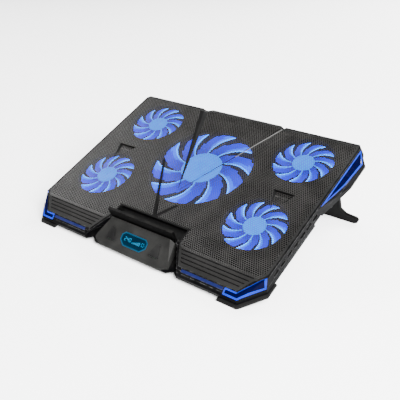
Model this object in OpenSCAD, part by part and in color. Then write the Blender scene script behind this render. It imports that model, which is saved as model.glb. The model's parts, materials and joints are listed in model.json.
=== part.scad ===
// Laptop cooling pad: a perforated steel deck over five light-up fans, with a
// display pod, a flip-up laptop stop and two folding rear legs. Millimetres.
// Every shape is drawn lying flat: x to the right, y from the front edge to the
// rear, z up from the soles of the feet. "placed" then tilts it onto its open legs.

/* [Deck] */
// Width of the deck
deck_w = 370; // [366:1:374]
// Depth of the deck, front foot to rear edge
deck_d = 275; // [273:1:279]
// Height of the deck above the table when the pad lies flat
deck_h = 19; // [19:0.25:20]
// Thickness of the steel sheet
sheet_t = 0.8; // [0.6:0.1:0.9]
// Depth of the V-shaped trough at the rear edge
trough_depth = 3.5; // [2.5:0.25:3.5]

/* [Fans] */
// Tip radius of the centre impeller
big_r = 72; // [68:1:72]
// Tip radius of the corner impellers
small_r = 40; // [36:1:40]
// Hub radius of the centre impeller
big_hub_r = 29; // [27:1:30]
// Hub radius of the corner impellers
small_hub_r = 14.5; // [13:0.5:15]
// Blades on the centre impeller
big_blades = 10; // [7:1:11]
// Blades on each corner impeller
small_blades = 11; // [7:1:11]

/* [Legs] */
// Tilt of the deck with the legs open
tilt = 22; // [20:0.5:22]
// Length of each foot bar
foot_bar_w = 60; // [56:1:61]

/* [Details] */
// Height of the laptop stop above the deck
stop_rise = 16; // [10:1:16]

/* [Hidden] */
$fn = 64;
SIDES = [-1, 1];

// Levels
foot_h = 3;
floor_t = 1.8;
split_z = 10;                       // joint between the two shells
frame_top = deck_h - sheet_t;
plate_z = frame_top - 2.2;          // underside of the plate that carries the sheet
rim_top = deck_h + 0.2;
wall = 2;
gap = 0.1;                          // assembly clearance between neighbours

// Half sizes
hw = deck_w / 2;
skirt = 2;                          // the lower edge stands this far outside the deck
skirt_z = 8;                        // height of the upright skirt
lip_y = 8;                          // front edge of the slope ahead of the deck
fold_y = 34;                        // where the slope meets the deck
slope_drop = 6.6;
rear_skirt_y = deck_d + 2;
corner_x = 162;                     // where the front corners start to cut across
corner_y = 38;                      // and where they end, on the sides
fold_x = hw - (hw - corner_x) * (corner_y - fold_y) / (corner_y - lip_y);
rear_cut = [4, 5];

// Fans: centre, tip radius, hub radius, blades
small_x = 126;
FANS = [
  [[0, 166], big_r, big_hub_r, big_blades],
  [[-small_x, 103], small_r, small_hub_r, small_blades],
  [[small_x, 103], small_r, small_hub_r, small_blades],
  [[-small_x, 224], small_r, small_hub_r, small_blades],
  [[small_x, 224], small_r, small_hub_r, small_blades]
];
tip_gap = 1.5;
shroud_t = 1.6;
blade_z = [9, 15.2];
hub_z = [7.4, 15.2];
hub_wall = 1.6;
shaft_r = 1;
bush_r = 2.5;
floor_z = foot_h + floor_t;

// Legs, measured as they lie folded under the pad
hinge = [245, 4.4];                 // y and z of the hinge axis
arm_x = [150, 162];
arm_half = 2.2;
foot_y = [144, 156];
foot_x = [187 - foot_bar_w, 187];
leg_pin_r = 1.5;
pin_x = [146.6, 165.4];

// Pod
pod_face = 27.3;                    // slope of its face
pod_centre = [17.25, 14.85];        // y and z of the middle of the face

// Laptop stop
stop_axis = [39.5, 16.6];
stop_half = 1.7;
stop_x = 54.2;
stop_pin_r = 1;

// The middle of the footprint, from the front foot to the rear of the open legs
leg_reach = (hinge[0] + arm_half) * cos(tilt) - hinge[1] * sin(tilt);
leg_drop = (hinge[0] + arm_half) * sin(tilt) + hinge[1] * cos(tilt);
toe = 2.6;                          // the front feet reach this far ahead of the edge
footprint_front = -toe * cos(tilt) - foot_h * sin(tilt);
middle_y = (footprint_front + leg_reach + leg_drop * tan(tilt)) / 2;

// ---------- helpers ----------

// Tilts a flat-lying piece onto the open stand and centres the footprint.
module placed() {
  translate([0, -middle_y, 0]) rotate([tilt, 0, 0]) children();
}

// The half space above the table, in the placed frame.
module above_table() {
  translate([-300, -300, 0]) cube([600, 700, 300]);
}

module both_sides() {
  children();
  mirror([1, 0, 0]) children();
}

// Extrudes a 2D outline between two heights.
module slab(z0, z1) {
  translate([0, 0, z0]) linear_extrude(z1 - z0) children();
}

// Extrudes children along x, centred on the point yz.
module along_x(span, yz) {
  translate([span[0], yz[0], yz[1]]) rotate([90, 0, 90]) linear_extrude(span[1] - span[0]) children();
}

module at(p, z = 0) {
  translate([p[0], p[1], z]) children();
}

function mirrored(half) = concat(half, [for (i = [len(half) - 1 : -1 : 0]) [-half[i][0], half[i][1]]]);

// ---------- outlines ----------

function front_z(y) = deck_h - max(0, fold_y - y) * slope_drop / (fold_y - lip_y);

function deck_outline(i) = mirrored([
  [fold_x - 0.5 * i, fold_y + 0.5 * i],
  [hw - i, corner_y + 0.4 * i],
  [hw - i, deck_d - rear_cut[1] - 0.4 * i],
  [hw - rear_cut[0] - 0.4 * i, deck_d - i]
]);

function skirt_outline(i) = mirrored([
  [corner_x + 2 - 0.5 * i, skirt + i],
  [hw + skirt - i, skirt + 28 + 0.4 * i],
  [hw + skirt - i, rear_skirt_y - rear_cut[1] - 0.4 * i],
  [hw + skirt - rear_cut[0] - 0.4 * i, rear_skirt_y - i]
]);

// The main body: an upright skirt below, sloping in to the lip and the deck edge.
module body_block(i, z0, z1) {
  lip_z = z1 - slope_drop;
  hull() {
    slab(z0, skirt_z - 0.5 * i) polygon(skirt_outline(i));
    slab(lip_z - 0.5, lip_z)
      polygon(mirrored([[corner_x - 0.5 * i, lip_y + i], [corner_x, lip_y + i + 1]]));
    slab(z1 - 1, z1) polygon(deck_outline(i));
  }
}

// The rear centre stands out a little behind the trough.
module rear_bump(i, z0, z1) {
  slab(z0, z1) polygon(mirrored([[70 - i, deck_d - 12], [70 - i, deck_d - i], [60 - i, deck_d + 6 - i]]));
}

// Wedge on each side of the rear half. Its sloping face carries the side light.
bulge_y = [150, 212, 254, 270];
bulge_out = 12.5;
bulge_z = 6;

module bulge(i) {
  x0 = hw - (i > 0 ? 3 : 0);
  x1 = hw + bulge_out - i;
  top = frame_top - 1.45 * i;
  low = bulge_z;
  base = foot_h + i;
  y = [bulge_y[0] + 4 * i, bulge_y[1] + i, bulge_y[2] - i, bulge_y[3] - 1.5 * i];
  top_in = top + (x0 < hw ? 3 : 0);
  both_sides() polyhedron(
    points = [
      [x0, y[0], top_in], [x0, y[3], top_in], [x1, y[1], low], [x1, y[2], low],
      [x1, y[1], base], [x1, y[2], base], [x0, y[0], base], [x0, y[3], base]
    ],
    faces = [[0, 1, 3, 2], [2, 3, 5, 4], [0, 2, 4, 6], [1, 7, 5, 3], [6, 4, 5, 7], [0, 6, 7, 1]]
  );
}

module outer_body() {
  body_block(0, foot_h, frame_top);
  bulge(0);
  rear_bump(0, foot_h, frame_top);
}

module cavity() {
  body_block(wall, floor_z, plate_z + 0.001);
  bulge(wall);
}

// A layer that follows the top of the deck and of the slope ahead of it.
module deck_layer(below, above) {
  y = [lip_y - 4, fold_y, deck_d + 20];
  along_x([-hw, hw], [0, 0]) polygon(concat(
    [for (v = y) [v, front_z(v) - below]],
    [for (k = [2 : -1 : 0]) [y[k], front_z(y[k]) + above]]
  ));
}

// Front opening for the pod.
notch_y = 37;
module notch_outline(grow = 0) {
  polygon(mirrored([
    [78 + grow * 2, -6 - grow * 4], [78 + grow, 4 - grow], [57 + grow, notch_y + grow]
  ]));
}

// ---------- fan places ----------

module at_fans() {
  for (f = FANS) at(f[0]) {
    $tip = f[1];
    $hub = f[2];
    children();
  }
}

// ---------- lower shell ----------

// Ring-shaped air inlet with concentric guard rings and spokes.
module inlet(tip, hub) {
  ring_pitch = 7.5;
  slot = 4.2;
  count = floor((tip - hub - 3) / ring_pitch);
  difference() {
    union() for (k = [0 : count - 1]) {
      r = hub + 3 + k * ring_pitch;
      difference() {
        cylinder(h = 6, r = r + slot, center = true);
        cylinder(h = 7, r = r, center = true);
      }
    }
    for (a = [0 : 60 : 120]) rotate(a + 15) cube([2 * tip + 10, 4, 8], center = true);
  }
}

screw_places = [[160, 62], [84, 50], [100, 164], [76, 262], [174, 252]];
screw_r = 1.2;
screw_head_r = 2.6;

module at_screws() {
  for (p = screw_places, s = SIDES) at([s * p[0], p[1]]) children();
}

// Recesses that the folded legs lie in, roofed over under the fans.
roof_z = 6.9;
roof_t = 1.2;

module leg_recess_outline(grow = 0) {
  arm_w = arm_x[1] - arm_x[0];
  translate([arm_x[0] - 0.6 - grow, foot_y[0]])
    square([arm_w + 1.2 + 2 * grow, hinge[0] + arm_half + 0.1 - foot_y[0] + grow]);
  translate([foot_x[0] - 1.5 - grow, foot_y[0] - 4.8 - grow])
    square([foot_bar_w + 4.5 - (grow > 0 ? 6 : 0) + grow, foot_y[1] - foot_y[0] + 6.5 + 2 * grow]);
  translate([arm_x[0] - 8 - grow, foot_y[1]]) square([arm_w + 16 + 2 * grow, 10 + grow]);
}

module leg_housing() {
  both_sides() slab(foot_h, roof_z + roof_t) {
    leg_recess_outline(1.3);
    translate([pin_x[0] - 1.2, hinge[0] - 4.5]) square([pin_x[1] - pin_x[0] + 2.4, 9]);
  }
}

module leg_recess() {
  both_sides() {
    slab(foot_h - 1, roof_z) leg_recess_outline();
    along_x(pin_x, hinge) circle(r = leg_pin_r);
  }
}

usb_y = [58, 78];
usb_w = 13.2;
usb_h = 5.8;
usb_z = 9.8;

module usb_windows() {
  for (y = usb_y) translate([-hw - 4, y - usb_w / 2 - gap, usb_z - gap])
    cube([9, usb_w + 2 * gap, usb_h + 2 * gap]);
}

module bottom_cover() {
  color("#17181a") difference() {
    union() {
      difference() {
        intersection() {
          outer_body();
          slab(0, split_z) square([500, 700], center = true);
        }
        cavity();
        at_fans() at([0, 0], foot_h) inlet($tip, $hub);
        slab(floor_z, 30) notch_outline();
        both_sides() slab(0, 30) polygon([[50, -5], [86, -5], [69, 8]]);
      }
      leg_housing();
      at_fans() slab(floor_z - 0.5, floor_z) circle(r = $hub + 2);
    }
    leg_recess();
    usb_windows();
    at_fans() cylinder(h = floor_z + 0.5, r = 1.6);
    at_screws() {
      slab(0, foot_h + 1.2) circle(r = screw_head_r + gap);
      slab(0, split_z) circle(r = screw_r + 0.3);
    }
    slab(0, 30) light_openings();
    rear_vents();
  }
}

// ---------- upper shell ----------

trough_apex = 112;
trough_half = 73;                   // half width at the rear edge, at the top
trough_floor = 67;                  // and at the bottom
sheet_front = 12.4;

// The trough: a V of three flat facets, deepest at the rear edge.
module trough(drop = 0, grow = 0) {
  far = deck_d + 14;
  k = (far - trough_apex) / (deck_d + 6 - trough_apex);
  depth = trough_depth * k;
  top = trough_half * k + grow;
  low = trough_floor * k + grow;
  over = 1.5;
  polyhedron(
    points = [
      [0, trough_apex - grow, deck_h - drop],
      [-top, far, deck_h - drop], [top, far, deck_h - drop],
      [-low, far, deck_h - depth - drop], [low, far, deck_h - depth - drop],
      [0, trough_apex - grow, deck_h + over],
      [-top, far, deck_h + over], [top, far, deck_h + over]
    ],
    faces = [
      [5, 6, 7], [0, 3, 1], [0, 4, 3], [0, 2, 4], [0, 1, 6, 5], [0, 5, 7, 2], [1, 3, 4, 2, 7, 6]
    ]
  );
}

// Three-sided dimples between the corner fans: deep at the rear, flush at the front.
dimple_c = 134;
dimple_half = 15;
dimple_y = [126, 162];
dimple_depth = 2.5;

module dimple(drop = 0, grow = 0) {
  y0 = dimple_y[0] - 3 * grow;
  y1 = dimple_y[1] + grow;
  w = dimple_half + grow;
  low = deck_h - dimple_depth - drop;
  both_sides() polyhedron(
    points = [
      [dimple_c, y0, deck_h - drop], [dimple_c - w, y1, deck_h - drop], [dimple_c + w, y1, deck_h - drop],
      [dimple_c - w + 3, y1, low], [dimple_c + w - 3, y1, low],
      [dimple_c, y0, deck_h + 1.5], [dimple_c - w, y1, deck_h + 1.5], [dimple_c + w, y1, deck_h + 1.5]
    ],
    faces = [
      [5, 6, 7], [0, 3, 1], [0, 4, 3], [0, 2, 4], [0, 1, 6, 5], [0, 5, 7, 2], [1, 3, 4, 2, 7, 6]
    ]
  );
}

// Pocket in the sheet that the laptop stop folds back into.
pocket_x = 56.5;
pocket_y = [43, 60];
pocket_z = 14.4;

module pocket(drop = 0, grow = 0) {
  translate([-pocket_x - grow, pocket_y[0] - 1, pocket_z - drop])
    cube([2 * (pocket_x + grow), pocket_y[1] - pocket_y[0] + 1 + grow, 12]);
}

// Room for the laptop stop and its ears.
module stop_slot() {
  translate([-pocket_x - 2.2, notch_y - 1, 13.4]) cube([2 * pocket_x + 4.4, 7, 10]);
}

module sheet_room() {
  trough(sheet_t + 0.15, 1.5);
  dimple(sheet_t + 0.15, 1.5);
  pocket(sheet_t + 0.15, 1.2);
  stop_slot();
}

// Side vents below the deck edge.
module side_vents() {
  for (y = [98 : 15 : 143]) translate([-hw - 4, y - 5.5, 11.5]) cube([7, 11, 3.6]);
  for (y = [53 : 15 : 143]) translate([hw - 3, y - 5.5, 11.5]) cube([7, 11, 3.6]);
}

module rear_vents() {
  for (x = [-150 : 12 : 150]) if (abs(x) > 76)
    translate([x - 4, deck_d - 4, 6.5]) cube([8, 10, 2.4]);
}

module stop_ears() {
  both_sides() difference() {
    translate([stop_x + 0.4, notch_y - 0.4, 13.4]) cube([4.4, 5.2, frame_top - 13.4]);
    along_x([stop_x - 1, stop_x + 3.2], stop_axis) circle(r = stop_pin_r);
  }
}

function rim_inside() = mirrored([
  [75.2, -5], [75.2, sheet_front - 0.1], [corner_x - 3.3, sheet_front - 0.1], [hw - 2.6, 42.4],
  [hw - 2.6, deck_d - 6], [hw - 5.2, deck_d - 2.6], [68, deck_d - 2.6], [58.5, deck_d + 3.4]
]);

module top_frame() {
  color("#1b1c1e") difference() {
    union() {
      difference() {
        union() {
          intersection() {
            outer_body();
            slab(split_z, 30) square([500, 700], center = true);
          }
          intersection() {
            deck_layer(sheet_t + 1, rim_top - deck_h);
            slab(0, rim_top) difference() {
              union() {
                polygon(mirrored([[corner_x, lip_y + 0.6], [fold_x, fold_y], [hw, corner_y]]));
                polygon(deck_outline(0));
                polygon(mirrored([[70, deck_d - 12], [70, deck_d], [60, deck_d + 6]]));
              }
              polygon(rim_inside());
            }
          }
        }
        cavity();
        slab(split_z - 1, 30) notch_outline();
      }
      intersection() {
        body_block(0.7, foot_h, frame_top - 0.7);
        slab(split_z, frame_top) difference() {
          notch_outline(wall);
          notch_outline();
        }
      }
      slab(split_z, frame_top) intersection() {
        at_fans() circle(r = $tip + tip_gap + shroud_t);
        polygon(deck_outline(1));
      }
      at_screws() slab(floor_z + 0.2, plate_z + 0.5) circle(r = 3.4);
    }
    at_fans() slab(0, 30) circle(r = $tip + tip_gap);
    sheet_room();
    usb_windows();
    side_vents();
    slab(0, 30) light_openings();
    both_sides() slab(split_z - 1, split_z + 1)
      polygon([[140, -5], [140, 4], [163.6, 4], [185.8, 30.6], [200, 30], [200, -5]]);
    at_screws() slab(0, 13) circle(r = screw_r);
  }
  color("#1b1c1e") stop_ears();
}

// ---------- steel deck ----------

function sheet_outline() = mirrored([
  [60.5, 38], [75.3, sheet_front], [corner_x - 3.4, sheet_front], [hw - 2.7, 42.5],
  [hw - 2.7, deck_d - 6.1], [hw - 5.3, deck_d - 2.7], [67.9, deck_d - 2.7], [58.4, deck_d + 3.3]
]);

module sheet_edge() {
  difference() {
    polygon(sheet_outline());
    translate([-59, 20]) square([118, pocket_y[0] - 20]);
  }
}

// A shallow pressed V ahead of the trough.
crease_w = 2.4;
crease_y = 61;                      // its point
crease_run = 96;                    // how far back the left arm reaches
crease_short = 0.3;                 // the right arm's share of that

module crease() {
  slab(deck_h - 0.4, deck_h + 1) for (arm = [[-1, 1], [1, crease_short]])
    scale([arm[0], 1]) let (far = crease_y + crease_run * arm[1], out = 58 * arm[1])
      polygon([[0, crease_y], [out, far], [out - 1.2 * crease_w, far], [0, crease_y + 2 * crease_w]]);
}

// Shallow grooves across the front slope.
module deck_grooves() {
  intersection() {
    deck_layer(0.3, 1);
    both_sides() for (k = [0 : 3]) translate([77 - 3 * k, 16 + 5 * k, 5]) cube([84 + 6 * k, 1.6, 20]);
  }
}

module mesh_deck() {
  color("#57544f") difference() {
    union() {
      intersection() {
        deck_layer(sheet_t, 0);
        slab(0, deck_h) sheet_edge();
      }
      intersection() {
        union() {
          trough(sheet_t, 0.8);
          dimple(sheet_t, 0.8);
          pocket(sheet_t, 0.8);
        }
        slab(10, deck_h) sheet_edge();
      }
    }
    trough();
    dimple();
    pocket();
    deck_grooves();
    crease();
  }
}

// ---------- edge lights ----------

// Plan outlines of the lights, right-hand side, shrunk by i.
module corner_light(i) {
  polygon([
    [144 + i, 11.4 - i], [160.4 - 0.4 * i, 11.4 - i], [183.6 - 1.2 * i, 39.6 - 1.6 * i],
    [185.8 - i, 30.6 - 0.2 * i], [163.6 - 0.5 * i, 4 + i], [144 + i, 4 + i]
  ]);
}

module side_light(i) {
  polygon([
    [hw + 0.9 + i * 0.7, 267.5 - 2.4 * i], [hw + 9.6 - i, 253 - 0.6 * i],
    [hw + 7.4 - i * 0.8, 208], [hw + 0.9 + 0.6 * i, 158 + 7 * i]
  ]);
}

module strip_light(i) {
  translate([82 + i, 7.6 + i]) square([60.5 - 2 * i, 3.4 - 2 * i]);
}

module light_openings() {
  both_sides() {
    corner_light(-gap);
    side_light(-gap);
    strip_light(-gap);
  }
}

module body_skin(t) {
  difference() {
    body_block(0, foot_h, frame_top);
    body_block(t, foot_h + t, frame_top - t);
  }
}

module bulge_skin() {
  intersection() {
    difference() {
      bulge(0);
      bulge(1.6);
    }
    slab(bulge_z + 0.5, frame_top - 0.3) square([500, 700], center = true);
  }
}

module on_side(s) {
  mirror([s < 0 ? 1 : 0, 0, 0]) children();
}

module corner_piece(s) {
  on_side(s) intersection() {
    body_skin(1.8);
    slab(skirt_z - 1, frame_top - 0.05) children();
  }
}

module side_piece(s) {
  on_side(s) intersection() {
    bulge_skin();
    slab(5, frame_top) children();
  }
}

module light_ring(s) {
  color("#8fb4ff") corner_piece(s) difference() {
    corner_light(0);
    corner_light(1.7);
  }
}

module light_lens(s) {
  color("#07177a") corner_piece(s) corner_light(1.8);
}

module side_ring(s) {
  color("#8fb4ff") side_piece(s) difference() {
    side_light(0);
    side_light(1.5);
  }
}

module side_lens(s) {
  color("#07177a") side_piece(s) side_light(1.65);
}

module strip(s) {
  color("#35539c") corner_piece(s) strip_light(0);
}

// Circuit boards that carry the light-emitting chips behind the edge lights.
module led_boards() {
  color("#103c22") both_sides() {
    translate([84, 17.5, 5.2]) cube([66, 1, 5]);
    translate([181.6, 162, 10.6]) cube([1, 90, 4.2]);
  }
}

module led_chips() {
  color("white") both_sides() {
    for (k = [0 : 6]) translate([88 + 9.5 * k, 16.4, 6.6]) cube([3, 1.1, 2.8]);
    for (k = [0 : 7]) translate([182.6, 166 + 11 * k, 11.3]) cube([1.1, 3, 2.8]);
  }
}

// ---------- display pod ----------

// The pod is where three prisms meet: side view, plan view and front view.
module pod_block(i) {
  side = [
    [0.8 + i, floor_z + (i > 0 ? -1 : 0)], [0.8 + i, 6.4], [34 + 0.2 * i, 23.55 - 1.15 * i],
    [36 - i, 23.55 - 1.15 * i], [36 - i, floor_z + (i > 0 ? -1 : 0)]
  ];
  plan = mirrored([[49 - 0.6 * i, 0.8 + i], [61.5 - i, 6.5 + 0.5 * i], [54 - i, 36 - i]]);
  front = mirrored([[63 - i, 3], [63 - i, 9], [49.5 - i, 23.6]]);
  intersection() {
    rotate([90, 0, 90]) translate([0, 0, -80]) linear_extrude(160) polygon(side);
    slab(0, 30) polygon(plan);
    translate([0, 80, 0]) rotate([90, 0, 0]) linear_extrude(160) polygon(front);
  }
}

// Puts children on the pod's face: x across, y up the slope, z outward.
module on_pod() {
  translate([0, pod_centre[0], pod_centre[1]]) rotate([pod_face, 0, 0]) children();
}

module display_outline(i) {
  polygon(mirrored([
    [14 - 0.4 * i, -9 + i], [21.5 - i, -2.5 + 0.3 * i], [21.5 - i, 5 - 0.3 * i], [17 - 0.5 * i, 9 - i]
  ]));
}

module button_outline(s, grow = 0) {
  mirror([s < 0 ? 1 : 0, 0]) polygon([
    [29 - grow, -7.5 - grow], [43.5 + 1.6 * grow, -7.5 - grow],
    [40.5 + grow, 9 + grow], [36 - grow, 9 + grow]
  ]);
}

module pod_cover() {
  color("#2b2b2c") difference() {
    pod_block(0);
    pod_block(wall);
    on_pod() {
      slab(-6, 6) display_outline(-gap);
      for (s = SIDES) slab(-6, 6) button_outline(s, 0.25);
    }
  }
}

module display_ring() {
  color("#5fa8dc") on_pod() slab(-1.6, 0.5) difference() {
    display_outline(0);
    display_outline(1.5);
  }
}

module display_window() {
  color("#06334f") on_pod() slab(-1.4, 0) display_outline(1.6);
}

module lcd_module() {
  color("#0b0c0d") on_pod() translate([-17, -7, -4]) cube([34, 13.6, 2.4]);
}

module control_board() {
  color("#103c22") on_pod() translate([-46, -9.5, -5.4]) cube([92, 19, 1.2]);
}

module tact_switches() {
  color("#202124") on_pod() for (s = SIDES) {
    translate([s * 37 - 2.5, -3.5, -4.2]) cube([5, 5, 1.1]);
    translate([s * 37, -1, -3.2]) cylinder(h = 0.5, r = 1.2);
  }
}

module button(s) {
  color("#1c1c1d") on_pod() {
    slab(-1.5, 0.9) button_outline(s);
    slab(-1.9, -1.5) translate([s * 37, -1]) circle(r = 1.5);
  }
}

// ---------- laptop stop ----------

cushion_x = stop_x - 4;
cushion_z = [deck_h + 3, deck_h + stop_rise - 3];
cushion_t = 0.8;

module cushion_block(extra = 0) {
  translate([-cushion_x, stop_axis[0] + stop_half - cushion_t, cushion_z[0]])
    cube([2 * cushion_x, cushion_t + extra, cushion_z[1] - cushion_z[0]]);
}

module laptop_stop() {
  color("#151516") difference() {
    union() {
      along_x([-stop_x, stop_x], stop_axis) circle(r = stop_half);
      translate([-stop_x, stop_axis[0] - stop_half, stop_axis[1]])
        cube([2 * stop_x, 2 * stop_half, deck_h + stop_rise - stop_axis[1]]);
    }
    both_sides() along_x([stop_x - 4, stop_x + 1], stop_axis) circle(r = stop_pin_r + 0.05);
    cushion_block(1);
  }
}

module stop_cushion() {
  color("#0d0d0e") cushion_block();
}

module stop_pins() {
  color("silver") both_sides() along_x([stop_x - 3.6, stop_x + 3], stop_axis) circle(r = stop_pin_r);
}

// ---------- rear legs ----------

// Swings a folded leg down to its stop.
module opened() {
  translate([0, hinge[0], hinge[1]]) rotate([90, 0, 0]) translate([0, -hinge[0], -hinge[1]]) children();
}

tip_r = 5;

module foot_outline() {
  polygon([
    [foot_x[0] + 3, foot_y[0]], [foot_x[1] - tip_r, foot_y[0]], [foot_x[1] - 2.6, foot_y[0] + 9.4],
    [arm_x[1] + 7, foot_y[1]], [arm_x[1], foot_y[1] + 7], [arm_x[0], foot_y[1] + 7],
    [arm_x[0] - 7, foot_y[1]], [foot_x[0] + 6, foot_y[1]],
    [foot_x[0], foot_y[0] + 7], [foot_x[0], foot_y[0] + 3]
  ]);
  translate([foot_x[1] - tip_r, foot_y[0] + tip_r]) circle(r = tip_r);
}

module leg(s) {
  color("#232324") on_side(s) opened() difference() {
    union() {
      along_x(arm_x, hinge) circle(r = arm_half);
      translate([arm_x[0], foot_y[0] + 2, hinge[1] - arm_half])
        cube([arm_x[1] - arm_x[0], hinge[0] - foot_y[0] - 2, 2 * arm_half]);
      slab(hinge[1] - arm_half, hinge[1] + arm_half) foot_outline();
    }
    along_x([arm_x[0] - 1, arm_x[1] + 1], hinge) circle(r = leg_pin_r + 0.06);
  }
}

// The rubber sole, cut level with the table.
module leg_sole(s) {
  color("#0e0e0f") intersection() {
    placed() on_side(s) opened() translate([foot_x[0] + 5, foot_y[0] - 6, hinge[1] - arm_half])
      cube([foot_bar_w - 11, 6, 2 * arm_half]);
    above_table();
  }
}

module leg_pins() {
  color("silver") both_sides() along_x(pin_x, hinge) circle(r = leg_pin_r);
}

// ---------- feet ----------

module front_feet() {
  intersection() {
    color("#0e0e0f") placed() both_sides() slab(0, foot_h) polygon([
      [138, -toe], [165, -toe], [189, 26.5], [189, 46], [172, 46], [172, 30], [160, 14], [138, 12]
    ]);
    above_table();
  }
}

module rear_feet() {
  color("#0e0e0f") both_sides() at([150, 266]) slab(0.4, foot_h) square([26, 9], center = true);
}

// ---------- sockets and screws ----------

module usb_board() {
  color("#103c22") translate([-182.6, 45, 7.9]) cube([14, 46, 1.6]);
}

module usb_sockets() {
  color("silver") for (y = usb_y) {
    difference() {
      translate([-hw + 0.2, y - usb_w / 2, usb_z]) cube([13.5, usb_w, usb_h]);
      translate([-hw - 1, y - usb_w / 2 + 0.5, usb_z + 0.5]) cube([13.5, usb_w - 1, usb_h - 1]);
    }
    translate([-hw + 1.4, y - 5.3, usb_z + 2.9]) cube([11.6, 10.6, 1.6]);
    translate([-hw + 2, y - 4, usb_z - 0.3]) cube([9, 8, 0.3]);
  }
}

module cover_screws() {
  color("#2a2a2c") at_screws() difference() {
    union() {
      slab(foot_h - 0.4, foot_h + 1.2) circle(r = screw_head_r);
      slab(foot_h + 1.2, 12.6) circle(r = screw_r);
    }
    slab(foot_h - 1, foot_h + 0.4) for (a = [0, 90]) rotate(a) square([3.2, 0.7], center = true);
  }
}

module board_screws() {
  color("silver") for (y = [47.5, 88.5]) at([-175, y]) {
    slab(9.5, 10.7) circle(r = 1.8);
  }
}

// ---------- fans ----------

// Plan outline of one blade, swept clockwise from root to tip.
function blade_outline(r0, r1) = let (n = 6, lead = -26, root = 24, tip = 27)
  concat(
    [for (i = [0 : n])
      let (t = i / n, r = r0 + (r1 - r0) * t, a = lead * t * (0.6 + 0.4 * t))
      [r * cos(a), r * sin(a)]],
    [for (i = [n : -1 : 0])
      let (t = i / n, r = r0 + (r1 - r0) * t, a = lead * t * t * 0.95 + root + (tip - root) * t)
      [r * cos(a), r * sin(a)]]
  );

module impeller(f) {
  tip = f[1];
  hub = f[2];
  chord = 0.42 * (tip + hub) / 2;
  pitch = asin(4.4 / chord);
  mid_z = (blade_z[0] + blade_z[1]) / 2;
  color("#2f6fe8") at(f[0]) difference() {
    union() {
      slab(hub_z[0], hub_z[1]) circle(r = hub);
      intersection() {
        for (k = [0 : f[3] - 1]) rotate(k * 360 / f[3])
          translate([0, 0, mid_z]) rotate([pitch, 0, 0]) translate([0, 0, -0.6])
            linear_extrude(1.2) polygon(blade_outline(hub - 1.2, tip + 2));
        slab(blade_z[0] - 0.2, blade_z[1]) circle(r = tip);
      }
    }
    slab(0, hub_z[1] - 1.6) difference() {
      circle(r = hub - hub_wall);
      circle(r = 3);
    }
    slab(0, 12) circle(r = 3.2);
    slab(0, 14) circle(r = shaft_r);
  }
}

module magnet(f) {
  color("#3a3a3d") at(f[0]) slab(hub_z[0] + 0.2, 13) difference() {
    circle(r = f[2] - hub_wall);
    circle(r = f[2] - hub_wall - 1.7);
  }
}

module shaft(f) {
  color("silver") at(f[0]) slab(floor_z + 0.4, 14) circle(r = shaft_r);
}

module stator_cores() {
  color("#77787b") at_fans() {
    reach = $hub - hub_wall - 2.4;
    slab(7.6, 11.4) difference() {
      union() {
        circle(r = bush_r + 1.5);
        for (a = [0, 90, 180, 270]) rotate(a) intersection() {
          union() {
            translate([0, -1.1]) square([reach, 2.2]);
            translate([reach - 1.6, -0.32 * reach]) square([3, 0.64 * reach]);
          }
          circle(r = reach);
        }
      }
      circle(r = bush_r);
    }
  }
}

module stator_coils() {
  color("#a65a2a") at_fans() {
    reach = $hub - hub_wall - 2.4;
    for (a = [0, 90, 180, 270]) rotate(a) difference() {
      translate([bush_r + 2.2, -2.6, 6.9]) cube([reach - 4.6 - bush_r, 5.2, 5.0]);
      translate([bush_r + 1, -1.15, 7.55]) cube([reach, 2.3, 3.9]);
    }
  }
}

module bearing_bushes() {
  color("#b08d4a") at_fans() slab(floor_z, 11.8) difference() {
    circle(r = bush_r);
    circle(r = shaft_r + 0.05);
  }
}

module motor_boards() {
  color("#103c22") at_fans() slab(floor_z, floor_z + 1.2) difference() {
    circle(r = $hub - 0.5);
    circle(r = bush_r + 0.1);
  }
}

// ---------- the nodes ----------

module show(name) {
  children();
}

show("bottom_cover") placed() bottom_cover();
show("top_frame") placed() top_frame();
show("mesh_deck") placed() mesh_deck();
show("front_left_light_ring") placed() light_ring(-1);
show("front_right_light_ring") placed() light_ring(1);
show("front_left_lens") placed() light_lens(-1);
show("front_right_lens") placed() light_lens(1);
show("front_left_strip") placed() strip(-1);
show("front_right_strip") placed() strip(1);
show("rear_left_light_ring") placed() side_ring(-1);
show("rear_right_light_ring") placed() side_ring(1);
show("rear_left_lens") placed() side_lens(-1);
show("rear_right_lens") placed() side_lens(1);
show("led_boards") placed() led_boards();
show("led_chips") placed() led_chips();
show("pod_cover") placed() pod_cover();
show("display_ring") placed() display_ring();
show("display_window") placed() display_window();
show("lcd_module") placed() lcd_module();
show("control_board") placed() control_board();
show("tact_switches") placed() tact_switches();
show("left_button") placed() button(-1);
show("right_button") placed() button(1);
show("laptop_stop") placed() laptop_stop();
show("stop_cushion") placed() stop_cushion();
show("stop_pins") placed() stop_pins();
show("left_leg") placed() leg(-1);
show("right_leg") placed() leg(1);
show("left_leg_sole") leg_sole(-1);
show("right_leg_sole") leg_sole(1);
show("leg_pins") placed() leg_pins();
show("front_feet") front_feet();
show("rear_feet") placed() rear_feet();
show("usb_board") placed() usb_board();
show("usb_sockets") placed() usb_sockets();
show("cover_screws") placed() cover_screws();
show("board_screws") placed() board_screws();
show("centre_impeller") placed() impeller(FANS[0]);
show("centre_magnet") placed() magnet(FANS[0]);
show("centre_shaft") placed() shaft(FANS[0]);
show("front_left_impeller") placed() impeller(FANS[1]);
show("front_left_magnet") placed() magnet(FANS[1]);
show("front_left_shaft") placed() shaft(FANS[1]);
show("front_right_impeller") placed() impeller(FANS[2]);
show("front_right_magnet") placed() magnet(FANS[2]);
show("front_right_shaft") placed() shaft(FANS[2]);
show("rear_left_impeller") placed() impeller(FANS[3]);
show("rear_left_magnet") placed() magnet(FANS[3]);
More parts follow.
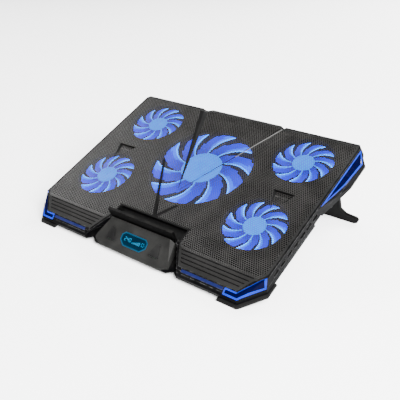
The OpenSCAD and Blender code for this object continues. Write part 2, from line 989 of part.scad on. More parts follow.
show("rear_left_shaft") placed() shaft(FANS[3]);
show("rear_right_impeller") placed() impeller(FANS[4]);
show("rear_right_magnet") placed() magnet(FANS[4]);
show("rear_right_shaft") placed() shaft(FANS[4]);
show("stator_cores") placed() stator_cores();
show("stator_coils") placed() stator_coils();
show("bearing_bushes") placed() bearing_bushes();
show("motor_boards") placed() motor_boards();
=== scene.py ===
import json
import logging
import math
from dataclasses import dataclass, field
from enum import Enum

import bmesh
import bpy
from mathutils import Matrix, Vector


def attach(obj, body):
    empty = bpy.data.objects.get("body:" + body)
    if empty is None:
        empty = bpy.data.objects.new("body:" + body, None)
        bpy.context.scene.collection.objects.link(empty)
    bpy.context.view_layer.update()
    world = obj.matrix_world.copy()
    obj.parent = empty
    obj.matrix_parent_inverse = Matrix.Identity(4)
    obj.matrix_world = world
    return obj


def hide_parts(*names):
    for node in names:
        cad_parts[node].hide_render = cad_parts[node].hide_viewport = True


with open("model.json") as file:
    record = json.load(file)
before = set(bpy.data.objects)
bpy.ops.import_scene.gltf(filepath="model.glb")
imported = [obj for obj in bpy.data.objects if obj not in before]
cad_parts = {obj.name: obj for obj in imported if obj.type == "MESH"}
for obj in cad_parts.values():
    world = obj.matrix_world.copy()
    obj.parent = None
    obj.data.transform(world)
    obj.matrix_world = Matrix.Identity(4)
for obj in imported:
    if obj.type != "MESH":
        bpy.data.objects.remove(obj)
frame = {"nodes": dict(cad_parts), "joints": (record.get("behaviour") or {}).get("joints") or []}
LOG = logging.getLogger("cooling_pad")
MM = 0.001
Point = tuple[float, float, float]
Outline = list[tuple[float, float]]
Colour = tuple[float, float, float]
Thing = bpy.types.Object
Material = bpy.types.Material
Tree = bpy.types.NodeTree
Node = bpy.types.Node
Socket = bpy.types.NodeSocket


# ---- pad space ----


@dataclass(frozen=True)
class PadSpace:
    """The pad's own space: flat millimetres, x right, y from the front edge back, z up."""

    matrix: Matrix
    fan_point: Point = (0.0, 166.0, 10.0)

    @classmethod
    def from_frame(cls) -> "PadSpace":
        """Finds the tilt and place of the pad from the centre fan's joint.

        Returns:
            The space whose matrix turns flat millimetres into metres in the row frame.
        """
        joint = next(j for j in frame["joints"] if j["name"] == "centre_fan_spin")
        normal = Vector(joint["axis"])
        turn = Matrix.Rotation(math.atan2(-normal.y, normal.z), 4, "X") @ Matrix.Scale(MM, 4)
        shift = Vector(joint["pos_m"]) - turn @ Vector(cls.fan_point)
        return cls(Matrix.Translation(shift) @ turn)

    def box(self, node: str) -> tuple[Vector, Vector]:
        """Measures a CAD node in flat millimetres.

        Args:
            node: Name of the node.

        Returns:
            Its lowest and highest corners.
        """
        back = self.matrix.inverted()
        spots = [back @ v.co for v in frame["nodes"][node].data.vertices]
        low = Vector(min(p[k] for p in spots) for k in range(3))
        high = Vector(max(p[k] for p in spots) for k in range(3))
        return low, high


# ---- mesh helpers ----


@dataclass
class Sculpt:
    """Gathers points and faces, and turns them into one named piece."""

    name: str
    points: list[Point] = field(default_factory=list)
    faces: list[tuple[int, ...]] = field(default_factory=list)

    def add(self, spots: list[Point], faces: list[tuple[int, ...]]) -> None:
        """Adds a shape whose faces count from its own first point."""
        base = len(self.points)
        self.points += spots
        self.faces += [tuple(base + k for k in f) for f in faces]

    def prism(self, low: list[Point], high: list[Point]) -> None:
        """Adds the closed solid between two outlines with the same number of points.

        Args:
            low: The lower outline, counter-clockwise seen from above.
            high: The upper outline.
        """
        n = len(low)
        sides = [(k, (k + 1) % n, n + (k + 1) % n, n + k) for k in range(n)]
        self.add(low + high, [tuple(reversed(range(n))), tuple(range(n, 2 * n))] + sides)

    def loft(self, rings: list[list[Point]], looped: bool = False) -> None:
        """Adds a skin over a row of closed rings.

        Args:
            rings: Rings with the same number of points each.
            looped: Whether the last ring joins the first; otherwise both ends are capped.
        """
        n, count = len(rings[0]), len(rings)
        faces: list[tuple[int, ...]] = []
        for r in range(count if looped else count - 1):
            here, there = r * n, (r + 1) % count * n
            faces += [(here + k, here + (k + 1) % n, there + (k + 1) % n, there + k) for k in range(n)]
        if not looped:
            faces += [tuple(reversed(range(n))), tuple(range((count - 1) * n, count * n))]
        self.add([p for ring in rings for p in ring], faces)

    def piece(self, space: Matrix, smooth: float | None = None, own_frame: bool = False) -> Thing:
        """Makes the piece.

        Args:
            space: From the shape's own millimetres to metres in the row frame.
            smooth: Edges flatter than this angle, in degrees, are shaded smooth.
            own_frame: Whether the piece keeps its own axes, which its finish can then use.

        Returns:
            The new object, linked to the scene.
        """
        mesh = bpy.data.meshes.new(self.name)
        mesh.from_pydata(self.points, [], self.faces)
        work = bmesh.new()
        work.from_mesh(mesh)
        bmesh.ops.recalc_face_normals(work, faces=work.faces)
        work.to_mesh(mesh)
        work.free()
        thing = placed(self.name, mesh)
        inner = Matrix.Scale(MM, 4) if own_frame else space
        mesh.transform(inner)
        thing.matrix_world = space @ inner.inverted()
        if smooth is not None:
            mesh.shade_smooth()
            mesh.set_sharp_from_angle(angle=math.radians(smooth))
        return thing


def placed(name: str, data: bpy.types.ID) -> Thing:
    """Makes an object and links it to the scene."""
    thing = bpy.data.objects.new(name, data)
    bpy.context.scene.collection.objects.link(thing)
    return thing


def aimed(name: str, data: bpy.types.ID, place: Point, target: Point) -> None:
    """Hangs a camera or a light at a place, facing a target."""
    thing = placed(name, data)
    thing.location = place
    thing.rotation_mode = "QUATERNION"
    thing.rotation_quaternion = (Vector(target) - Vector(place)).to_track_quat("-Z", "Y")


def ring(radius: float, z: float, count: int, start: float = 0.0) -> list[Point]:
    """Points round a circle, counter-clockwise."""
    turns = [start + 2 * math.pi * k / count for k in range(count)]
    return [(radius * math.cos(a), radius * math.sin(a), z) for a in turns]


def mirrored(half: Outline) -> Outline:
    """Closes a right-hand half outline with its mirror image."""
    return half + [(-x, y) for x, y in reversed(half)]


def inset(outline: Outline, by: float) -> Outline:
    """Moves a counter-clockwise outline inwards.

    Args:
        outline: The outline's corners.
        by: Distance between the old and new edges.

    Returns:
        The new corners, one for each old one.
    """
    moved: Outline = []
    n = len(outline)
    for k in range(n):
        before, here, after = (Vector(outline[(k + j) % n]) for j in (-1, 0, 1))
        into, out = (here - before).normalized(), (after - here).normalized()
        left_in, left_out = Vector((-into.y, into.x)), Vector((-out.y, out.x))
        mitre = (left_in + left_out).normalized()
        spot = here + mitre * (by / max(0.3, mitre.dot(left_in)))
        moved.append((spot.x, spot.y))
    return moved


def inside(outline: Outline, x: float, y: float) -> bool:
    """Whether a point lies inside an outline."""
    hit = False
    for k, (x1, y1) in enumerate(outline):
        x0, y0 = outline[k - 1]
        if (y0 > y) != (y1 > y) and x < x0 + (y - y0) * (x1 - x0) / (y1 - y0):
            hit = not hit
    return hit


def resampled(outline: Outline, step: float) -> tuple[Outline, list[tuple[int, float]]]:
    """Adds points along an outline's edges.

    Args:
        outline: The corners.
        step: Longest distance between two points.

    Returns:
        The new outline, and where each point came from: its edge and how far along.
    """
    spots: Outline = []
    source: list[tuple[int, float]] = []
    for k, (x0, y0) in enumerate(outline):
        x1, y1 = outline[(k + 1) % len(outline)]
        parts = max(1, math.ceil(math.hypot(x1 - x0, y1 - y0) / step))
        for j in range(parts):
            t = j / parts
            spots.append((x0 + (x1 - x0) * t, y0 + (y1 - y0) * t))
            source.append((k, t))
    return spots, source


# ---- shader groups ----


class Shader:
    """A small writer of node trees."""

    def __init__(self, tree: Tree) -> None:
        """Starts on an empty tree."""
        self.tree = tree
        self.tree.nodes.clear()

    def node(self, kind: str, values: dict[str, float | tuple] | None = None, **settings: object) -> Node:
        """Adds a node.

        Args:
            kind: The node's type.
            values: Constants for its sockets.
            settings: Its properties.

        Returns:
            The node.
        """
        made = self.tree.nodes.new(kind)
        for key, value in settings.items():
            setattr(made, key, value)
        for key, value in (values or {}).items():
            made.inputs[key].default_value = value
        return made

    def link(self, source: Socket, target: Socket) -> None:
        """Joins two sockets."""
        self.tree.links.new(source, target)

    def math(self, operation: str, first: object, second: object = 0.0) -> Socket:
        """Adds a math node whose inputs are sockets or plain numbers."""
        made = self.node("ShaderNodeMath", operation=operation)
        for slot, value in zip(made.inputs, (first, second)):
            if isinstance(value, Socket):
                self.link(value, slot)
            else:
                slot.default_value = value
        return made.outputs[0]

    def fade(self, value: Socket, low: float, high: float) -> Socket:
        """Maps a value so that low becomes 0 and high becomes 1."""
        limits = {"From Min": low, "From Max": high}
        made = self.node("ShaderNodeMapRange", limits, interpolation_type="SMOOTHSTEP")
        self.link(value, made.inputs["Value"])
        return made.outputs["Result"]

    def blend(self, mask: Socket, under: object, over: object) -> Socket:
        """Mixes two colours by a mask.

        Args:
            mask: 0 shows the first colour, 1 the second.
            under: A colour or a colour socket.
            over: A colour or a colour socket.

        Returns:
            The mixed colour.
        """
        made = self.node("ShaderNodeMix", data_type="RGBA")
        self.link(mask, made.inputs["Factor"])
        for name, value in (("A", under), ("B", over)):
            slot = next(s for s in made.inputs if s.name == name and s.type == "RGBA")
            if isinstance(value, Socket):
                self.link(value, slot)
            else:
                slot.default_value = (*value, 1.0)
        return next(s for s in made.outputs if s.type == "RGBA")


def new_group(name: str, inputs: dict[str, float], outputs: list[str]) -> tuple[Tree, Shader, Node, Node]:
    """Starts a shader node group.

    Args:
        name: The group's name.
        inputs: Its number inputs and their starting values.
        outputs: Its number outputs.

    Returns:
        The group, a writer for its inside, and its input and output nodes.
    """
    tree = bpy.data.node_groups.new(name, "ShaderNodeTree")
    for label, value in inputs.items():
        socket = tree.interface.new_socket(label, in_out="INPUT", socket_type="NodeSocketFloat")
        socket.default_value = value
    for label in outputs:
        tree.interface.new_socket(label, in_out="OUTPUT", socket_type="NodeSocketFloat")
    writer = Shader(tree)
    return tree, writer, writer.node("NodeGroupInput"), writer.node("NodeGroupOutput")


class Effects:
    """Shader groups that several finishes share, each built once."""

    def __init__(self) -> None:
        """Builds the groups."""
        self.grain = self._grain()
        self.wear_and_highlight = self._wear_and_highlight()
        self.dust = self._dust()

    @staticmethod
    def _grain() -> Tree:
        """Fine moulded or sprayed grain: a height, and a slow mottle for colour and gloss."""
        scales = {"Grains per metre": 2500.0, "Patches per metre": 30.0}
        tree, w, start, end = new_group("surface_grain", scales, ["Height", "Mottle"])
        place = w.node("ShaderNodeTexCoord").outputs["Object"]
        fine = w.node("ShaderNodeTexNoise", {"Detail": 3.0})
        slow = w.node("ShaderNodeTexNoise", {"Detail": 4.0})
        for texture, label in ((fine, "Grains per metre"), (slow, "Patches per metre")):
            w.link(place, texture.inputs["Vector"])
            w.link(start.outputs[label], texture.inputs["Scale"])
        w.link(fine.outputs["Fac"], end.inputs["Height"])
        w.link(w.fade(slow.outputs["Fac"], 0.3, 0.7), end.inputs["Mottle"])
        return tree

    @staticmethod
    def _wear_and_highlight() -> Tree:
        """Worn outer edges, which also carry painted edge highlights: 1 on a rubbed or highlighted edge, 0
        on open faces.
        """
        tree, w, start, end = new_group("edge_wear_and_highlight", {"Width": 0.0006, "Amount": 1.0}, ["Mask"])
        soft = w.node("ShaderNodeBevel", samples=4)
        w.link(start.outputs["Width"], soft.inputs["Radius"])
        plain = w.node("ShaderNodeNewGeometry").outputs["Normal"]
        dot = w.node("ShaderNodeVectorMath", operation="DOT_PRODUCT")
        w.link(soft.outputs["Normal"], dot.inputs[0])
        w.link(plain, dot.inputs[1])
        bent = w.fade(w.math("SUBTRACT", 1.0, dot.outputs["Value"]), 0.02, 0.25)
        patch = w.node("ShaderNodeTexNoise", {"Scale": 220.0})
        w.link(w.node("ShaderNodeTexCoord").outputs["Object"], patch.inputs["Vector"])
        broken = w.math("MULTIPLY", bent, w.fade(patch.outputs["Fac"], 0.35, 0.65))
        w.link(w.math("MULTIPLY", broken, start.outputs["Amount"]), end.inputs["Mask"])
        return tree

    @staticmethod
    def _dust() -> Tree:
        """Thin dust on faces that look up."""
        tree, w, start, end = new_group("fine_dust", {"Amount": 0.2}, ["Mask"])
        split = w.node("ShaderNodeSeparateXYZ")
        w.link(w.node("ShaderNodeNewGeometry").outputs["Normal"], split.inputs["Vector"])
        up = w.fade(split.outputs["Z"], 0.3, 1.0)
        cloud = w.node("ShaderNodeTexNoise", {"Scale": 60.0, "Detail": 6.0})
        w.link(w.node("ShaderNodeTexCoord").outputs["Object"], cloud.inputs["Vector"])
        mask = w.math("MULTIPLY", up, w.fade(cloud.outputs["Fac"], 0.35, 0.8))
        w.link(w.math("MULTIPLY", mask, start.outputs["Amount"]), end.inputs["Mask"])
        return tree


EFFECTS = Effects()


def new_skin(name: str, values: dict[str, float | tuple]) -> tuple[Material, Shader, Node]:
    """Starts a material whose surface is one Principled node.

    Args:
        name: The material's name.
        values: Constants for the Principled node.

    Returns:
        The material, a writer for its tree and the Principled node.
    """
    material = bpy.data.materials.new(name)
    material.use_nodes = True
    w = Shader(material.node_tree)
    skin = w.node("ShaderNodeBsdfPrincipled", values)
    w.link(skin.outputs["BSDF"], w.node("ShaderNodeOutputMaterial").inputs["Surface"])
    return material, w, skin


def add_bump(w: Shader, skin: Node, grain: Node, depth: float, strength: float = 1.0) -> None:
    """Roughens a surface with the grain group's height."""
    bump = w.node("ShaderNodeBump", {"Distance": depth, "Strength": strength})
    w.link(grain.outputs["Height"], bump.inputs["Height"])
    w.link(bump.outputs["Normal"], skin.inputs["Normal"])


def use_group(w: Shader, tree: Tree, **values: float) -> Node:
    """Places a shader group in a material with its own values."""
    made = w.node("ShaderNodeGroup", node_tree=tree)
    for label, value in values.items():
        made.inputs[label.replace("_", " ")].default_value = value
    return made


# ---- finishes ----


def grey(level: float) -> Colour:
    """A neutral colour."""
    return level, level, level


class Pattern(Enum):
    """What lies over a finish's plain colour."""

    PLAIN = "plain"
    TURNED = "turned"
    TRACES = "traces"
    WINDING = "winding"
    STACKED = "stacked"


@dataclass(frozen=True)
class Finish:
    """A solid finish: moulded plastic, rubber, paint or bare metal."""

    name: str
    colour: Colour
    # Edge colour: rubbed wear, and partly a painted edge highlight.
    worn_and_highlight: Colour
    roughness: float = 0.5
    metallic: float = 0.0
    grain: float = 0.00005
    grains: float = 2500.0
    wear_and_highlight: float = 0.5
    dust: float = 0.02
    coat: float = 0.0
    gloss: float = 0.4
    pattern: Pattern = Pattern.PLAIN

    def build(self) -> Material:
        """Makes the material."""
        values = {"Metallic": self.metallic, "Coat Weight": self.coat, "Specular IOR Level": self.gloss}
        material, w, skin = new_skin(self.name, values)
        grain = use_group(w, EFFECTS.grain, Grains_per_metre=self.grains)
        wear_and_highlight = use_group(w, EFFECTS.wear_and_highlight, Amount=self.wear_and_highlight)
        dust = use_group(w, EFFECTS.dust, Amount=self.dust)
        dark = tuple(0.8 * c for c in self.colour)
        light = tuple(1.2 * c for c in self.colour)
        base = w.blend(grain.outputs["Mottle"], dark, light)
        base = self._patterned(w, base)
        # Lighter edges: partly rubbed wear, partly a painted edge highlight.
        base = w.blend(wear_and_highlight.outputs["Mask"], base, self.worn_and_highlight)
        base = w.blend(dust.outputs["Mask"], base, (0.20, 0.19, 0.17))
        w.link(base, skin.inputs["Base Color"])
        spread = w.math("MULTIPLY", w.math("SUBTRACT", grain.outputs["Mottle"], 0.5), 0.12)
        w.link(w.math("ADD", spread, self.roughness), skin.inputs["Roughness"])
        add_bump(w, skin, grain, self.grain, 0.6)
        return material

    def _patterned(self, w: Shader, base: Socket) -> Socket:
        """Lays the finish's pattern over its colour."""
        place = w.node("ShaderNodeTexCoord").outputs["Object"]
        if self.pattern is Pattern.PLAIN:
            return base
        if self.pattern is Pattern.TRACES:
            lines = w.node("ShaderNodeTexBrick", {"Scale": 180.0, "Mortar Size": 0.06})
            w.link(place, lines.inputs["Vector"])
            return w.blend(w.fade(lines.outputs["Fac"], 0.2, 0.8), base, (0.08, 0.30, 0.12))
        scales = {Pattern.TURNED: 1500.0, Pattern.WINDING: 900.0, Pattern.STACKED: 650.0}
        bands = "X" if self.pattern is Pattern.WINDING else "Z"
        values = {"Scale": scales[self.pattern], "Distortion": 0.6}
        wave = w.node("ShaderNodeTexWave", values, bands_direction=bands)
        w.link(place, wave.inputs["Vector"])
        deep = tuple(0.55 * c for c in self.colour)
        return w.blend(w.fade(wave.outputs["Fac"], 0.6, 0.1), base, deep)


@dataclass(frozen=True)
class Glow:
    """A translucent plastic that is lit from within, brighter in soft patches."""

    name: str
    colour: Colour
    light: Colour
    strength: float
    spread: float = 0.3
    roughness: float = 0.25
    reach: tuple[float, float] | None = None
    gloss: float = 0.3

    def build(self) -> Material:
        """Makes the material."""
        values = {"Emission Strength": self.strength, "Specular IOR Level": self.gloss}
        material, w, skin = new_skin(self.name, values)
        grain = use_group(w, EFFECTS.grain, Grains_per_metre=1200.0, Patches_per_metre=90.0)
        mottle = grain.outputs["Mottle"]
        dark = tuple(0.85 * c for c in self.colour)
        w.link(w.blend(mottle, dark, self.colour), skin.inputs["Base Color"])
        mask = mottle
        if self.reach:
            place = w.node("ShaderNodeSeparateXYZ")
            w.link(w.node("ShaderNodeTexCoord").outputs["Generated"], place.inputs["Vector"])
            across = w.math("SUBTRACT", place.outputs["X"], 0.5)
            up = w.math("SUBTRACT", place.outputs["Y"], 0.5)
            square = w.math("ADD", w.math("MULTIPLY", across, across), w.math("MULTIPLY", up, up))
            mask = w.fade(w.math("MULTIPLY", w.math("SQRT", square), 2.0), *self.reach)
        dim = tuple((1.0 - self.spread) * c for c in self.light)
        w.link(w.blend(mask, dim, self.light), skin.inputs["Emission Color"])
        w.link(w.math("ADD", w.math("MULTIPLY", mottle, 0.1), self.roughness), skin.inputs["Roughness"])
        add_bump(w, skin, grain, 0.00002)
        return material


COVER = Finish("cover_plastic", (0.0008, 0.0008, 0.0010), grey(0.009), roughness=0.55, gloss=0.03)
# The frame's light edge colour is mostly a painted highlight along its rims.
FRAME = Finish(
    "frame_plastic", (0.0009, 0.0009, 0.0011), grey(0.070),
    roughness=0.5, wear_and_highlight=0.9, gloss=0.03,
)
DECK = Finish(
    "deck_paint", (0.0155, 0.015, 0.0143), grey(0.05),
    roughness=0.42, wear_and_highlight=0.0, gloss=0.3,
)
RIM = Finish(
    "deck_rim_paint", (0.005, 0.005, 0.0048), grey(0.02),
    roughness=0.5, dust=0.0, gloss=0.15,
)
# Near-black sheet paint for folds, grooves and the stop's pocket: painted shade.
PAINTED_SHADE = Finish(
    "painted_shade_sheet", grey(0.0008), grey(0.006),
    roughness=0.6, dust=0.0, gloss=0.05,
)
LOUVRE = Finish(
    "louvre_paint", (0.0062, 0.0060, 0.0058), grey(0.02),
    roughness=0.45, dust=0.0, gloss=0.12,
)
# Lighter sheet paint on the trough lip: a painted highlight.
LIP_HIGHLIGHT = Finish(
    "lip_painted_highlight", (0.038, 0.037, 0.036), grey(0.08),
    roughness=0.4, dust=0.0, gloss=0.3,
)
POD = Finish(
    "pod_plastic", (0.0085, 0.0085, 0.0082), grey(0.025),
    roughness=0.48, grain=0.00008, gloss=0.05,
)
BUTTON = Finish("button_plastic", grey(0.0042), grey(0.02), roughness=0.38, gloss=0.2)
STOP = Finish("stop_plastic", grey(0.0006), grey(0.009), roughness=0.55, gloss=0.04)
LEG = Finish("leg_plastic", grey(0.0008), grey(0.009), roughness=0.55, gloss=0.025)
RUBBER = Finish(
    "black_rubber", grey(0.002), grey(0.01),
    roughness=0.8, grain=0.00012, grains=1400.0, gloss=0.1,
)
STEEL = Finish(
    "pin_steel", (0.55, 0.55, 0.56), grey(0.8),
    roughness=0.28, metallic=1.0, pattern=Pattern.TURNED,
)
SCREW = Finish("black_screw", grey(0.02), grey(0.15), roughness=0.4, metallic=0.7)
BOARD = Finish(
    "circuit_board", (0.010, 0.07, 0.03), (0.1, 0.2, 0.1),
    roughness=0.3, coat=0.5, pattern=Pattern.TRACES,
)
BLACK = Finish("switch_plastic", grey(0.01), grey(0.05), roughness=0.35)
CORE = Finish(
    "core_steel", (0.30, 0.30, 0.31), grey(0.5),
    roughness=0.45, metallic=0.9, pattern=Pattern.STACKED,
)
COPPER = Finish(
    "copper_winding", (0.62, 0.24, 0.10), (0.8, 0.4, 0.2),
    roughness=0.3, metallic=0.9, pattern=Pattern.WINDING,
)
BRASS = Finish(
    "bush_brass", (0.60, 0.44, 0.20), (0.8, 0.6, 0.3),
    roughness=0.35, metallic=1.0, pattern=Pattern.TURNED,
)
FERRITE = Finish("magnet", (0.03, 0.03, 0.033), grey(0.08), roughness=0.7)

CHIP = Glow("led_chip", (0.06, 0.08, 0.20), (0.006, 0.06, 1.0), 1.2, gloss=0.05)
EDGE_LIGHT = Glow("light_edge", (0.002, 0.004, 0.03), (0.006, 0.06, 1.0), 1.7, spread=0.3, gloss=0.05)
LENS = Glow("light_lens", (0.0003, 0.0003, 0.002), (0.0, 0.001, 0.09), 0.7, roughness=0.2, gloss=0.03)
STRIP = Glow("strip_lens", (0.002, 0.003, 0.010), (0.03, 0.04, 0.30), 0.6, gloss=0.1)
BLADE = Glow(
    "blade_plastic", (0.0005, 0.001, 0.005), (0.0, 0.018, 1.0),
    2.5, spread=0.6, reach=(0.25, 0.95), gloss=0.05,
)
# A brighter copy of the blade glow for each blade's leading band: a painted highlight.
BLADE_HIGHLIGHT = Glow(
    "blade_painted_highlight_side", (0.0005, 0.002, 0.01), (0.0, 0.09, 1.0),
    4.0, spread=0.6, reach=(0.25, 0.95), gloss=0.05,
)
BLADE_SHADE = Glow("blade_shadow_side", (0.0003, 0.0005, 0.002), (0.0, 0.0, 1.0), 0.03, gloss=0.05)
# Brighter glow on the blade edge beads: a painted highlight.
BLADE_EDGE_HIGHLIGHT = Glow(
    "blade_edge_highlight", (0.002, 0.008, 0.02), (0.008, 0.24, 1.0),
    6.5, spread=0.5, reach=(0.2, 0.9), gloss=0.05,
)
HUB = Glow("hub_plastic", (0.0005, 0.003, 0.01), (0.0, 0.21, 1.0), 3.2, spread=0.1, gloss=0.03)
DISPLAY_EDGE = Glow("display_edge", (0.001, 0.005, 0.01), (0.008, 0.15, 0.30), 0.8, spread=0.15, gloss=0.1)
DISPLAY = Glow(
    "display_window", (0.0004, 0.001, 0.002), (0.001, 0.040, 0.085),
    0.8, roughness=0.15, gloss=0.06,
)
DIGIT = Glow("display_digit", (0.004, 0.01, 0.014), (0.0, 0.50, 1.0), 1.0, spread=0.1, gloss=0.1)


@dataclass
class Paintbox:
    """Builds each finish once and hands out its material."""

    ready: dict[str, Material] = field(default_factory=dict)

    def material(self, finish: Finish | Glow) -> Material:
        """The material of a finish."""
        if finish.name not in self.ready:
            self.ready[finish.name] = finish.build()
        return self.ready[finish.name]

    def dress(self, thing: Thing, finish: Finish | Glow) -> Thing:
        """Gives a piece or a CAD node its finish."""
        thing.data.materials.clear()
        thing.data.materials.append(self.material(finish))
        return thing


# ---- the deck ----


@dataclass
class PunchedDeck:
    """The folded steel sheet with its hexagonal holes, in three fields and a plain border."""

    space: PadSpace
    paint: Paintbox
    pitch: float = 3.0
    hole: float = 0.85
    sheet: float = 0.4
    border: float = 1.4
    fold_y: float = 34.0
    slope: float = 6.6 / 26.0
    trough_apex: float = 112.0
    trough_end: float = 281.0
    trough_half: tuple[float, float] = (73.0, 67.0)
    trough_depth: float = 3.5
    # Width of the extra plain band along the trough's left edge, which takes painted shade.
    trough_shade_strip: float = 7.0
    dimple_x: float = 134.0
    dimple_y: tuple[float, float] = (126.0, 162.0)
    dimple_half: float = 15.0
    dimple_depth: float = 2.5
    pocket_x: float = 56.5
    pocket_y: tuple[float, float] = (43.0, 60.0)
    crease_apex: float = 61.0
    crease_end: tuple[float, float] = (58.0, 157.0)
    crease_short: float = 0.3
    crease_half: float = 1.5
    crease_depth: float = 0.9

    def __post_init__(self) -> None:
        """Reads the sheet's outer sizes from the CAD node."""
        low, high = self.space.box("mesh_deck")
        self.top = high.z
        self.half = high.x
        self.front, self.rear = low.y, high.y

    def outline(self) -> Outline:
        """The sheet's outline, counter-clockwise from the right of the pod."""
        half, rear, front = self.half, self.rear, self.front
        return mirrored([
            (60.5, 44.0), (60.5, 38.0), (75.3, front), (158.6, front), (half, 42.5), (half, rear - 9.4),
            (half - 2.6, rear - 6.0), (67.9, rear - 6.0), (58.4, rear),
        ])

    def height(self, x: float, y: float) -> float:
        """The sheet's top at a point."""
        z = self.top - max(0.0, self.fold_y - y) * self.slope
        return z - self._trough(abs(x), y) - self._dimple(abs(x), y) - self._pressed(x, y)

    def _trough(self, x: float, y: float) -> float:
        """How deep the V-shaped trough is."""
        k = (y - self.trough_apex) / (self.trough_end - self.trough_apex)
        if k <= 0.0:
            return 0.0
        outer, inner = (k * half for half in self.trough_half)
        return self.trough_depth * k * min(1.0, max(0.0, (outer - x) / (outer - inner)))

    def _dimple(self, x: float, y: float) -> float:
        """How deep the three-sided dimples are."""
        k = (y - self.dimple_y[0]) / (self.dimple_y[1] - self.dimple_y[0])
        if not 0.0 < k <= 1.0:
            return 0.0
        edge = self.dimple_half * k - abs(x - self.dimple_x)
        return self.dimple_depth * k * min(1.0, max(0.0, edge / (3.6 * k)))

    def _pressed(self, x: float, y: float) -> float:
        """How deep the V crease is."""
        run, rise = self.crease_end[0], self.crease_end[1] - self.crease_apex
        share = self.crease_short if x > 0 else 1.0
        x = abs(x)
        if self.crease_apex - 2.0 < y < self.crease_apex + rise * share:
            off = abs((y - self.crease_apex) * run - x * rise) / math.hypot(run, rise)
            if off < self.crease_half + 0.9:
                return self.crease_depth + 0.7
        return 0.0

    def _solid_here(self, x: float, y: float) -> bool:
        """Whether the sheet is left plain here: round the stop's pocket, along a fold, or over the wider
        painted-shade band on the trough's left edge.
        """
        strip = self.trough_shade_strip if x < 0 else 0.0
        x = abs(x)
        if x < self.pocket_x + 2.0 and y < self.pocket_y[1] + 1.8 or y < self.fold_y:
            return True
        k = (y - self.trough_apex) / (self.trough_end - self.trough_apex)
        return self.trough_half[1] * k + 1.2 < x < (self.trough_half[0] + strip) * k - 1.2

    def _field(self, name: str, low_x: float, high_x: float) -> Thing:
        """Punches the part of the sheet between two widths.

        Args:
            name: The piece's name.
            low_x: Left limit of the hole centres.
            high_x: Right limit.

        Returns:
            The piece.
        """
        made = Sculpt(name)
        row = self.pitch * math.sqrt(3) / 2
        corner = self.pitch / math.sqrt(3)
        area = inset(self.outline(), self.border)
        shared: dict[tuple[int, int], int] = {}
        walls: dict[tuple[int, int], int] = {}
        rims = [math.radians(30 + 60 * k) for k in range(6)]

        def spot(x: float, y: float) -> int:
            """The index of a shared cell corner: its top point, followed by its bottom point."""
            key = (round(x * 50), round(y * 50))
            if key not in shared:
                shared[key] = len(made.points)
                z = self.height(x, y)
                made.points.extend([(x, y, z), (x, y, z - self.sheet)])
            return shared[key]

        for r in range(math.ceil((self.rear - self.front) / row)):
            y = self.front + 2.0 + r * row
            shift = self.pitch / 2 if r % 2 else 0.0
            for c in range(math.floor(low_x / self.pitch), math.ceil(high_x / self.pitch)):
                x = c * self.pitch + shift
                if not low_x <= x < high_x or not inside(area, x, y) or self._solid_here(x, y):
                    continue
                outer = [spot(x + corner * math.cos(a), y + corner * math.sin(a)) for a in rims]
                first = len(made.points)
                for a in rims:
                    hx, hy = x + self.hole * corner * math.cos(a), y + self.hole * corner * math.sin(a)
                    z = self.height(hx, hy)
                    made.points.extend([(hx, hy, z), (hx, hy, z - self.sheet)])
                inner = [first + 2 * k for k in range(6)]
                for k in range(6):
                    j = (k + 1) % 6
                    a, b, c_in, d_in = outer[k], outer[j], inner[j], inner[k]
                    made.faces.append((a, b, c_in, d_in))
                    made.faces.append((d_in + 1, c_in + 1, b + 1, a + 1))
                    made.faces.append((d_in, c_in, c_in + 1, d_in + 1))
                    edge = (min(a, b), max(a, b))
                    walls[edge] = walls.get(edge, 0) + 1
                    if walls[edge] == 1:
                        walls[(-edge[0] - 1, -edge[1] - 1)] = len(made.faces)
                        made.faces.append((b, a, a + 1, b + 1))
        doubled = {at for key, at in walls.items() if key[0] < 0 and walls[(-key[0] - 1, -key[1] - 1)] > 1}
        made.faces = [f for at, f in enumerate(made.faces) if at not in doubled]
        return made.piece(self.space.matrix)

    def _edge(self) -> Thing:
        """The plain border round the punched fields, open in front of the stop's pocket."""
        made = Sculpt("deck_border")
        lift, width, hem = 0.04, self.border + 1.4, 1.0
        outer = self.outline()
        inner = inset(outer, width)
        spots, source = resampled(outer, 3.0)
        count = len(inner)
        rows: list[list[Point]] = []
        for (x, y), (k, t) in zip(spots, source):
            if k == count - 1 and t > 0.0:
                continue
            (ax, ay), (bx, by) = inner[k], inner[(k + 1) % count]
            ix, iy = ax + (bx - ax) * t, ay + (by - ay) * t
            top_out, top_in = self.height(x, y), self.height(ix, iy) + lift
            rows.append([
                (x, y, top_out), (ix, iy, top_in), (ix, iy, top_in - hem), (x, y, top_out - self.sheet),
            ])
        made.loft(rows)
        return made.piece(self.space.matrix)

    def _pocket(self) -> Thing:
        """The tray below the deck that the stop folds into, and the plain web beside it, both painted
        near-black as shade.
        """
        made = Sculpt("stop_pocket")
        low, floor, web, wall = self.top - self.sheet, 14.4, 2.4, 0.8
        px, (y0, y1) = self.pocket_x, self.pocket_y
        for side in (-1, 1):
            near, far = sorted((side * px, side * (px + web)))
            self._slab(made, (near, 44.0, low), (far, y1 + web, self.top + 0.03))
            near, far = sorted((side * px, side * (px + wall)))
            self._slab(made, (near, y0, floor - wall), (far, y1, low + 0.2))
        self._slab(made, (-px, y1, low), (px, y1 + web, self.top + 0.03))
        self._slab(made, (-px, y1, floor - wall), (px, y1 + wall, low + 0.2))
        self._slab(made, (-px, y0, floor - wall), (px, y1, floor))
        return made.piece(self.space.matrix)

